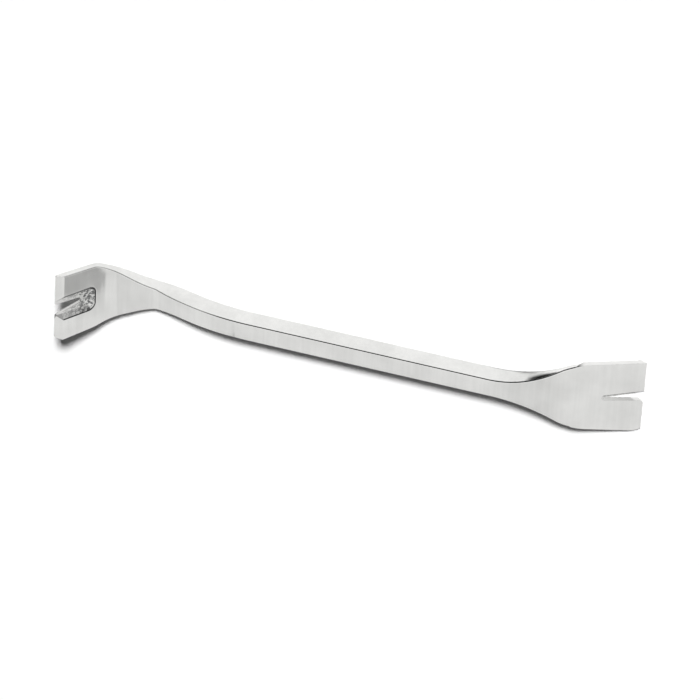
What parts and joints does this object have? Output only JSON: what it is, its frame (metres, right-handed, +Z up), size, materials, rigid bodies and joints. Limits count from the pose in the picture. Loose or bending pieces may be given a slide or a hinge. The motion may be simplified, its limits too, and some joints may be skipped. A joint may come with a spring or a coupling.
{
  "type": "molding lifter",
  "caption": "Chrome-plated steel molding lifter: a square bar with a wide notched blade at one end and a short bent claw with a recessed notch at the other.",
  "frame": {"origin": "middle of the footprint, on the surface that the tool lies on", "axes": "+X along the bar towards the wide blade, +Y across the bar, +Z up out of the faces of the blade and the claw"},
  "size_m": [0.2274, 0.0338, 0.0243],
  "materials": {
    "chrome_plate": "bright chrome plate over forged and ground steel"
  },
  "bodies": {
    "root": {"molding_lifter": "chrome_plate"}
  },
  "joints": []
}
